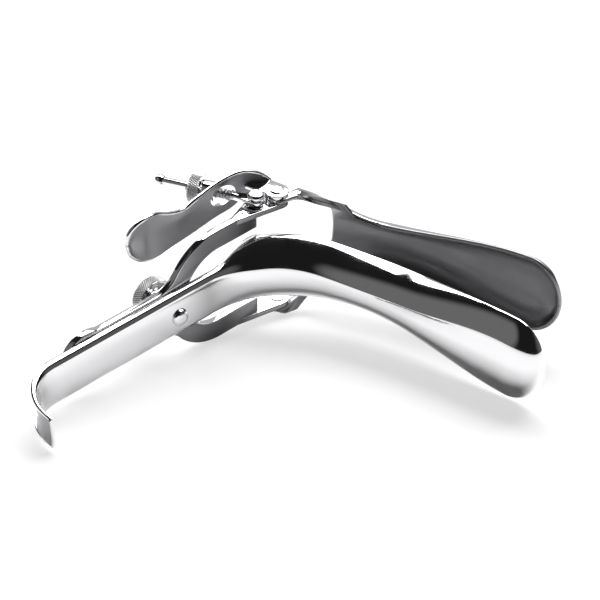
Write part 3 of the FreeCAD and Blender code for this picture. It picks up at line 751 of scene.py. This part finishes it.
two_ears = YOKE_EAR_WALL + EAR_GAP + WALL + EAR_GAP
upper_pin = pin("upper_pin_turned", 1, two_ears + LEVER_WALL)
lower_pin = pin("lower_pin_turned", -1, two_ears)

# Direction of the limit rod in the side plane, and its height across
ROD_TURN = 207.6
ROD_HEIGHT = YOKE_EAR_FACE + EAR_GAP + 1.6
rod_way = polar(1, ROD_TURN)
rod_start = ROD_PIVOT + UP * ROD_HEIGHT
pivot_screw = lathe("rod_pivot_turned", [
    (0, 0), (1.4, 0), (1.4, 5.7), (3.1, 5.7), (3.1, 6.8), (2.3, 7.5), (0, 7.5)],
    ROD_PIVOT + UP * (YOKE_EAR_FACE - YOKE_EAR_WALL), UP, bevel=0.35)
# The top of its head takes the darker rough steel, which is painted shade that tones down its
# bright reflection
pivot_screw.data.materials.append(SHADED_ROUGH_STEEL)
for face in pivot_screw.data.polygons:
    if np.array(face.normal) @ AXIS_Z > 0.97:
        face.material_index = 1

# The clamp screw and the guide stud stand on the handle's floor, away from its outer face
away = np.array([-1.0, 0, 0])
CLAMP_HEIGHT = -34.7
STUD_HEIGHT = -47.5
clamp_screw = lathe("clamp_screw_turned", [
    (0, -1.7), (1.8, -1.7), (2.9, -1.1), (3.3, -0.35), (3.3, 0), (2.0, 0), (2.0, 19.1),
    (0, 19.1)], (0, CLAMP_HEIGHT, 0), away, bevel=0.3)
stud = lathe("guide_stud_turned", [
    (0, 0), (2.0, 0), (2.0, 6.35), (3.2, 6.35), (3.2, 7.35), (0, 7.35)],
    (-WALL / 2, STUD_HEIGHT, 0), away, count=64)


def growing_tree(name, inputs):
    """Geometry nodes tree with named inputs and a material, and its input node."""
    tree = bpy.data.node_groups.new(name, "GeometryNodeTree")
    face = tree.interface
    face.new_socket("Geometry", in_out="OUTPUT", socket_type="NodeSocketGeometry")
    for label, kind, default in inputs:
        socket = face.new_socket(label, in_out="INPUT", socket_type=kind)
        socket.default_value = default
    face.new_socket("Material", in_out="INPUT", socket_type="NodeSocketMaterial")
    return tree, tree.nodes.new("NodeGroupInput")


def end_tree(tree, given, grown_socket):
    """Real geometry with its material, as the tree's result."""
    new, link = tree.nodes.new, tree.links.new
    real = new("GeometryNodeRealizeInstances")
    paint = new("GeometryNodeSetMaterial")
    result = new("NodeGroupOutput")
    link(grown_socket, real.inputs[0])
    link(real.outputs[0], paint.inputs["Geometry"])
    link(given.outputs["Material"], paint.inputs["Material"])
    link(paint.outputs[0], result.inputs[0])
    return tree


def knurl_tree():
    """Rows of small pyramids that stand on a cylinder, each row half a pitch on."""
    tree, given = growing_tree("knurl", (
        ("Around", "NodeSocketInt", 60), ("Rows", "NodeSocketInt", 4),
        ("Radius", "NodeSocketFloat", 0.007), ("Width", "NodeSocketFloat", 0.004),
        ("Tooth", "NodeSocketFloat", 0.0004)))
    new, link = tree.nodes.new, tree.links.new

    def maths(operation, first, second):
        item = new("ShaderNodeMath")
        item.operation = operation
        for socket, value in zip(item.inputs, (first, second)):
            if isinstance(value, (int, float)):
                socket.default_value = value
            else:
                link(value, socket)
        return item.outputs[0]

    count = maths("MULTIPLY", given.outputs["Around"], given.outputs["Rows"])
    line = new("GeometryNodePoints")
    link(count, line.inputs["Count"])
    index = new("GeometryNodeInputIndex").outputs[0]
    row = maths("FLOOR", maths("DIVIDE", maths("ADD", index, 0.5), given.outputs["Around"]), 0)
    shift = maths("MULTIPLY", maths("MODULO", row, 2.0), 0.5)
    turn = maths("MULTIPLY", maths("DIVIDE", maths("ADD", index, shift), given.outputs["Around"]),
                 2 * math.pi)
    height = maths("MULTIPLY", maths("DIVIDE", maths("ADD", row, 0.5), given.outputs["Rows"]),
                   given.outputs["Width"])
    where = new("ShaderNodeCombineXYZ")
    link(maths("MULTIPLY", maths("COSINE", turn, 0), given.outputs["Radius"]), where.inputs[0])
    link(maths("MULTIPLY", maths("SINE", turn, 0), given.outputs["Radius"]), where.inputs[1])
    link(height, where.inputs[2])
    move = new("GeometryNodeSetPosition")
    link(line.outputs[0], move.inputs["Geometry"])
    link(where.outputs[0], move.inputs["Position"])
    tooth = new("GeometryNodeMeshCone")
    tooth.inputs["Vertices"].default_value = 4
    tooth.inputs["Radius Top"].default_value = 0.00012
    link(maths("MULTIPLY", maths("DIVIDE", given.outputs["Width"], given.outputs["Rows"]), 0.98),
         tooth.inputs["Radius Bottom"])
    link(given.outputs["Tooth"], tooth.inputs["Depth"])
    tilt = new("ShaderNodeCombineXYZ")
    tilt.inputs[1].default_value = math.pi / 2
    link(turn, tilt.inputs[2])
    scatter = new("GeometryNodeInstanceOnPoints")
    link(move.outputs[0], scatter.inputs["Points"])
    link(tooth.outputs["Mesh"], scatter.inputs["Instance"])
    link(tilt.outputs[0], scatter.inputs["Rotation"])
    return end_tree(tree, given, scatter.outputs[0])


def thread_tree():
    """The ridge of a fine thread, wound along a shank."""
    tree, given = growing_tree("thread", (
        ("Turns", "NodeSocketFloat", 20.0), ("Radius", "NodeSocketFloat", 0.0017),
        ("Length", "NodeSocketFloat", 0.016), ("Ridge", "NodeSocketFloat", 0.0004)))
    new, link = tree.nodes.new, tree.links.new
    coil = new("GeometryNodeCurveSpiral")
    coil.inputs["Resolution"].default_value = 36
    link(given.outputs["Turns"], coil.inputs["Rotations"])
    link(given.outputs["Radius"], coil.inputs["Start Radius"])
    link(given.outputs["Radius"], coil.inputs["End Radius"])
    link(given.outputs["Length"], coil.inputs["Height"])
    ridge = new("GeometryNodeCurvePrimitiveCircle")
    ridge.inputs["Resolution"].default_value = 4
    link(given.outputs["Ridge"], ridge.inputs["Radius"])
    tube = new("GeometryNodeCurveToMesh")
    link(coil.outputs[0], tube.inputs["Curve"])
    link(ridge.outputs["Curve"], tube.inputs["Profile Curve"])
    tube.inputs["Fill Caps"].default_value = True
    return end_tree(tree, given, tube.outputs[0])


def grown(name, tree, values, place, axis, smooth_angle):
    """Geometry nodes' result, turned so that its Z runs along an axis, as a real mesh."""
    holder = bpy.data.objects.new(name, bpy.data.meshes.new(name))
    bpy.context.scene.collection.objects.link(holder)
    modifier = holder.modifiers.new("grow", "NODES")
    modifier.node_group = tree
    for socket in tree.interface.items_tree:
        if socket.in_out == "INPUT" and socket.name in values:
            modifier[socket.identifier] = values[socket.name]
    bpy.context.view_layer.update()
    graph = bpy.context.evaluated_depsgraph_get()
    mesh = bpy.data.meshes.new_from_object(holder.evaluated_get(graph))
    bpy.data.objects.remove(holder)
    axis = np.array(axis, float)
    side, other = sides_of(axis)
    flat = 1000 * np.array([v.co[:] for v in mesh.vertices])
    points = np.array(place) + flat[:, :1] * side + flat[:, 1:2] * other + flat[:, 2:] * axis
    for vertex, spot in zip(mesh.vertices, to_row(points)):
        vertex.co = spot
    return finish_mesh(name, mesh, smooth_angle)


KNURL = knurl_tree()
THREAD = thread_tree()
NUT_BORE = 2.05
DISC_THICK = 4.4
DISC_EDGE = 0.35
TOOTH = 0.32
TOOTH_PITCH = 0.82
TOOTH_ROWS = 5


def nut(name, hub, hub_length, disc, place, axis):
    """Turned nut: a hub, then a disc with a dished face and a knurled edge."""
    low, high = hub_length + DISC_EDGE, hub_length + DISC_THICK
    profile = [(NUT_BORE, 0), (hub, 0), (hub, hub_length), (disc - 1.9, hub_length),
               (disc - 1.1, low), (disc - 0.45, hub_length), (disc - 0.3, low),
               (disc - 0.3, high - DISC_EDGE), (disc - 0.8, high), (NUT_BORE, high)]
    body = lathe(name + "_body", profile, place, axis, count=128, bevel=0.15)
    # The teeth take the darker rough steel, whose dark tone is painted shade
    sizes = {"Around": int(round(2 * math.pi * disc / TOOTH_PITCH)), "Rows": TOOTH_ROWS,
             "Radius": (disc - TOOTH) * 0.001, "Width": (DISC_THICK - 2 * DISC_EDGE) * 0.001,
             "Tooth": TOOTH * 0.001, "Material": SHADED_ROUGH_STEEL}
    foot = np.array(place, float) + np.array(axis) * low
    teeth = grown(name + "_teeth", KNURL, sizes, foot, axis, 20.0)
    return joined(name, [body, teeth])


YOKE_BACK = YOKE_FRONT - YOKE_WALL
ROD_NUT_REACH = 14.8
clamp_nut = nut("clamp_nut_turned", 4.5, 6.4, 7.3, (YOKE_BACK - EAR_GAP, CLAMP_HEIGHT, 0), away)
rod_nut = nut("rod_nut_turned", 3.7, 5.4, 5.5, rod_start + rod_way * ROD_NUT_REACH, rod_way)

# The rod: a flat eye that narrows to a round shank, its thread and its ball
NECK = 8.4
NECK_SIDE = 1.25
SHANK_RADIUS = 1.45
ROD_END = 36.4
BALL_RADIUS = 2.2
neck_points = [tuple((ROD_PIVOT + rod_way * NECK + polar(NECK_SIDE, ROD_TURN + turn))[:2])
               for turn in (-90, 90)]
eye = plate("eye", hull(arc(ROD_PIVOT, 2.9, 0, 360, 64) + neck_points),
            [arc(ROD_PIVOT, 1.5, 0, 360, 40)[:-1]], in_side_plane(ROD_HEIGHT), 2.0, 0.5)
shank = lathe("shank", [(0, 6.5), (1.1, 6.5), (SHANK_RADIUS, 9.0), (SHANK_RADIUS, ROD_END),
                        (0, ROD_END)], rod_start, rod_way, count=64)
# The thread's ridge takes the darker rough steel, whose dark tone is painted shade
thread_sizes = {"Turns": 23.0, "Radius": SHANK_RADIUS * 0.001, "Length": 0.0172,
                "Ridge": 0.00042, "Material": SHADED_ROUGH_STEEL}
coil = grown("coil", THREAD, thread_sizes, rod_start + rod_way * 9.1, rod_way, 25.0)
rod = joined("threaded_rod_turned", [eye, shank, coil])
ball_profile = [tuple(polar(BALL_RADIUS, turn)[:2]) for turn in np.linspace(-89, 89, 40)]
ball = lathe("rod_ball_turned", [(0, -BALL_RADIUS)] + ball_profile + [(0, BALL_RADIUS)],
             rod_start + rod_way * 36.5, rod_way, bevel=0.02)

# Each piece rides on its part's body and takes its part's place
for piece, body, node in (
        (posterior, "handle", "posterior_blade"), (anterior, "upper", "anterior_blade"),
        (yoke, "yoke", "yoke"), (lever, "upper", "thumb_lever"),
        (upper_pin, "yoke", "upper_hinge_pin"), (lower_pin, "yoke", "lower_hinge_pin"),
        (pivot_screw, "yoke", "rod_pivot_screw"), (clamp_screw, "handle", "clamp_screw"),
        (stud, "handle", "guide_stud"), (clamp_nut, "clamp_nut", "clamp_nut"),
        (rod_nut, "rod_nut", "rod_nut"), (rod, "rod", "threaded_rod"),
        (ball, "rod", "rod_ball")):
    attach(piece, body)
    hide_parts(node)

for node in frame["nodes"].values():
    node.data.materials.clear()
    node.data.materials.append(POLISHED)

# Table, backdrop and light

TABLE_RADIUS = 0.8
TABLE_DROP = 0.0002
TABLE_LIFT = 0.62


def white_table(name, colour, roughness):
    """Matt surface, lifted to white where the camera sees it."""
    material = bpy.data.materials.new(name)
    tree = nodes_of(material)
    output = tree.nodes.new("ShaderNodeOutputMaterial")
    shader = tree.nodes.new("ShaderNodeBsdfPrincipled")
    shader.inputs["Base Color"].default_value = colour
    shader.inputs["Roughness"].default_value = roughness
    shader.inputs["Specular IOR Level"].default_value = 0.1
    path = tree.nodes.new("ShaderNodeLightPath")
    share = tree.nodes.new("ShaderNodeMath")
    share.operation = "MULTIPLY"
    share.inputs[1].default_value = TABLE_LIFT
    paper = tree.nodes.new("ShaderNodeEmission")
    mix = tree.nodes.new("ShaderNodeMixShader")
    tree.links.new(path.outputs["Is Camera Ray"], share.inputs[0])
    tree.links.new(share.outputs[0], mix.inputs["Fac"])
    tree.links.new(shader.outputs["BSDF"], mix.inputs[1])
    tree.links.new(paper.outputs["Emission"], mix.inputs[2])
    tree.links.new(mix.outputs[0], output.inputs["Surface"])
    return material


bpy.ops.mesh.primitive_circle_add(vertices=128, radius=TABLE_RADIUS, fill_type="NGON",
                                  location=(0, 0, -TABLE_DROP))
table = bpy.context.object
table.name = "table"
table.data.materials.append(white_table("table_white", (0.93, 0.93, 0.93, 1.0), 0.9))

# The camera sees a white world; the steel sees a dark room with three soft glows

ROOM_LEVEL = 0.012
world = bpy.data.worlds.new("studio")
bpy.context.scene.world = world
world.use_nodes = True
sky = world.node_tree
sky.nodes.clear()
output = sky.nodes.new("ShaderNodeOutputWorld")
mix = sky.nodes.new("ShaderNodeMixShader")
path = sky.nodes.new("ShaderNodeLightPath")
seen = sky.nodes.new("ShaderNodeBackground")
dim = sky.nodes.new("ShaderNodeBackground")
seen.inputs["Color"].default_value = (1, 1, 1, 1)
seen.inputs["Strength"].default_value = 1.0
view_way = sky.nodes.new("ShaderNodeTexCoord")


def glow(azimuth, elevation, wide, narrow, level):
    """Soft round brightness in a direction: it starts at wide and is full at narrow degrees."""
    dot = sky.nodes.new("ShaderNodeVectorMath")
    dot.operation = "DOT_PRODUCT"
    turn, lift = math.radians(azimuth), math.radians(elevation)
    dot.inputs[1].default_value = (math.cos(turn) * math.cos(lift),
                                   math.sin(turn) * math.cos(lift), math.sin(lift))
    fade = sky.nodes.new("ShaderNodeMapRange")
    fade.interpolation_type = "SMOOTHSTEP"
    fade.inputs["From Min"].default_value = math.cos(math.radians(wide))
    fade.inputs["From Max"].default_value = math.cos(math.radians(narrow))
    fade.inputs["To Max"].default_value = level
    sky.links.new(view_way.outputs["Generated"], dot.inputs[0])
    sky.links.new(dot.outputs["Value"], fade.inputs["Value"])
    return fade.outputs["Result"]


def added(first, second):
    """Sum of two levels, each a number or a socket."""
    total = sky.nodes.new("ShaderNodeMath")
    for socket, level in zip(total.inputs, (first, second)):
        if isinstance(level, float):
            socket.default_value = level
        else:
            sky.links.new(level, socket)
    return total.outputs[0]


room = added(ROOM_LEVEL, glow(-108, 22, 42, 22, 0.16))
room = added(room, glow(28, 15, 30, 12, 0.10))
room = added(room, glow(128, 26, 46, 22, 0.55))
sky.links.new(room, dim.inputs["Color"])
dim.inputs["Strength"].default_value = 1.0
sky.links.new(path.outputs["Is Camera Ray"], mix.inputs["Fac"])
sky.links.new(dim.outputs[0], mix.inputs[1])
sky.links.new(seen.outputs[0], mix.inputs[2])
sky.links.new(mix.outputs[0], output.inputs["Surface"])


LAMP_DISTANCE = 1.5


def softbox(name, direction, width, height, power):
    """Rectangular light that faces the instrument from a direction in the model's frame."""
    light = bpy.data.lights.new(name, "AREA")
    light.shape = "RECTANGLE"
    light.size = width
    light.size_y = height
    light.energy = power
    item = bpy.data.objects.new(name, light)
    bpy.context.scene.collection.objects.link(item)
    way = Vector(direction).normalized()
    item.location = way * LAMP_DISTANCE
    item.rotation_euler = way.to_track_quat("Z", "Y").to_euler()


softbox("top", (-0.15, 0.42, 1.0), 1.5, 1.0, 34.0)
softbox("left", (-1.0, 0.1, 0.75), 0.4, 1.2, 11.0)

# Camera, turned about the instrument's origin

AZIMUTH, ELEVATION, ROLL = map(math.radians, (-41.1, 38.91, -0.95))
DISTANCE = 719.93
SENSOR = 36.0
PICTURE = 600
# Pixels to a millimetre at the origin, and the origin's pixel
PIXEL_SCALE = 2.80
ORIGIN_PIXEL = (254.39, 274.46)
toward = np.array([math.cos(AZIMUTH) * math.cos(ELEVATION),
                   math.sin(AZIMUTH) * math.cos(ELEVATION), math.sin(ELEVATION)])
right = unit(np.cross(-toward, UP))
above = np.cross(toward, right)
turned_right = right * math.cos(ROLL) + above * math.sin(ROLL)
turned_up = -right * math.sin(ROLL) + above * math.cos(ROLL)
lens = bpy.data.cameras.new("view")
lens.sensor_width = SENSOR
lens.lens = PIXEL_SCALE * DISTANCE / PICTURE * SENSOR
lens.shift_x = 0.5 - ORIGIN_PIXEL[0] / PICTURE
lens.shift_y = ORIGIN_PIXEL[1] / PICTURE - 0.5
lens.clip_start = 0.01
camera = bpy.data.objects.new("view", lens)
bpy.context.scene.collection.objects.link(camera)
spot = to_row([toward * DISTANCE])[0]
columns = np.array([turned_right, turned_up, toward]) @ AXES
camera.matrix_world = Matrix([list(columns[:, 0]) + [spot[0]], list(columns[:, 1]) + [spot[1]],
                              list(columns[:, 2]) + [spot[2]], [0, 0, 0, 1]])
bpy.context.scene.camera = camera
bpy.context.scene.view_settings.view_transform = "Standard"
